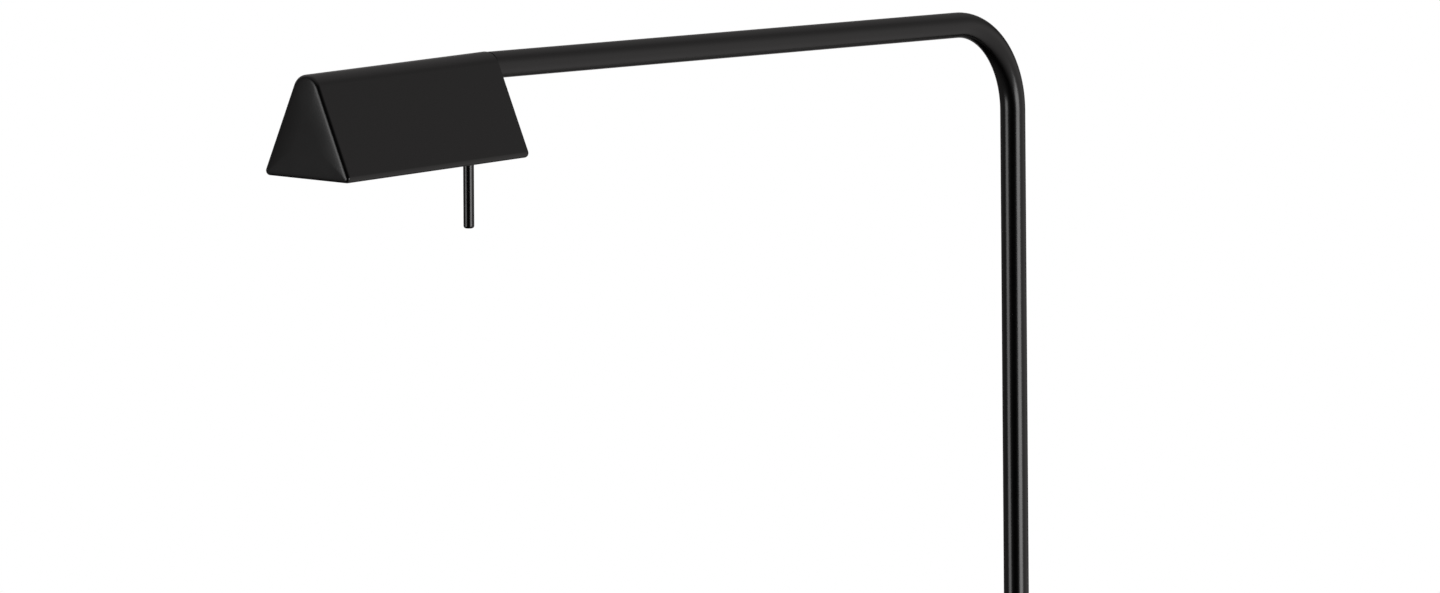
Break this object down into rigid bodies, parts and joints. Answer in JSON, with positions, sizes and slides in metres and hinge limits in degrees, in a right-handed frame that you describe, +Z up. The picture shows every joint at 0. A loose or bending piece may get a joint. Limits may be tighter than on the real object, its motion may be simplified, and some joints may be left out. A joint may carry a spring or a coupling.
{
  "type": "reading light",
  "caption": "Floor-standing reading light: bent-tube arm on a telescoping post, tent-shaped shade that turns on the end of the arm, control stalk under the shade, round weighted base.",
  "frame": {"origin": "centre of the foot on the floor, on the axis of the post", "axes": "+Z up along the post; the arm reaches along -X; the cord outlet faces +X"},
  "size_m": [0.7876, 0.254, 1.1082],
  "materials": {
    "satin_black": "satin black paint",
    "zinc_steel": "zinc plated",
    "cast_iron": "as cast",
    "brass": "turned",
    "bare_aluminium": "extruded",
    "black_nylon": "moulded",
    "white_nylon": "moulded",
    "rubber_pad": "matt",
    "white_paint": "white reflector paint",
    "frosted_acrylic": "frosted",
    "white_board": "white solder mask",
    "led_phosphor": "phosphor",
    "blue_plastic": "moulded",
    "red_insulation": "insulation"
  },
  "bodies": {
    "stand": {"foot_pad": "rubber_pad", "base_plate": "zinc_steel", "plate_screws": "zinc_steel", "base_weight": "cast_iron", "base_cover": "satin_black", "cord_gland": "black_nylon", "post_socket": "satin_black", "post_plug": "zinc_steel", "base_nipple": "brass", "nipple_washer": "zinc_steel", "nipple_nut": "zinc_steel", "post_tube": "satin_black", "stop_sleeve": "zinc_steel", "post_ferrule": "satin_black", "collet": "white_nylon"},
    "lock": {"lock_ring": "satin_black"},
    "glide": {"glide_bush": "white_nylon"},
    "arm": {"arm_tube": "satin_black", "bush_clips": "zinc_steel", "height_stop": "white_nylon", "swivel_fitting": "satin_black", "friction_washer": "black_nylon", "spring_washer": "zinc_steel", "swivel_washer": "zinc_steel", "swivel_nut": "zinc_steel"},
    "head": {"shade_shell": "satin_black", "shade_end_cap": "satin_black", "shade_arm_cap": "satin_black", "swivel_block": "zinc_steel", "stop_pin": "zinc_steel", "switch_bracket": "zinc_steel", "end_bracket": "zinc_steel", "heat_sink": "bare_aluminium", "sink_screws": "zinc_steel", "led_board": "white_board", "board_screws": "zinc_steel", "led_chips": "led_phosphor", "lens_rails": "white_paint", "diffuser": "frosted_acrylic", "switch_cover": "white_paint", "dimmer": "blue_plastic", "dimmer_nut": "zinc_steel", "head_lead": "red_insulation"},
    "control": {"dimmer_shaft": "zinc_steel", "stalk": "satin_black", "stalk_screw": "zinc_steel"}
  },
  "joints": [
    {"name": "height_slide", "type": "slide", "parent": "stand", "child": "glide", "axis": [0, 0, 1], "range_m": [-0.19, 0.11]},
    {"name": "arm_turn", "type": "hinge", "parent": "glide", "child": "arm", "pos_m": [0, 0, 1.1], "axis": [0, 0, 1], "range_deg": [-175, 175]},
    {"name": "head_turn", "type": "hinge", "parent": "arm", "child": "head", "pos_m": [-0.4978, 0, 1.1], "axis": [-0.9995, 0, -0.0305], "range_deg": [-87.9, 92.1]},
    {"name": "stalk_turn", "type": "hinge", "parent": "head", "child": "control", "pos_m": [-0.51611, 0.0022, 1.03945], "axis": [-0.0305, -0.0366, 0.9989], "range_deg": [0, 280]},
    {"name": "lock_turn", "type": "hinge", "parent": "stand", "child": "lock", "pos_m": [0, 0, 0.62], "axis": [0, 0, 1], "range_deg": [0, 90]}
  ]
}
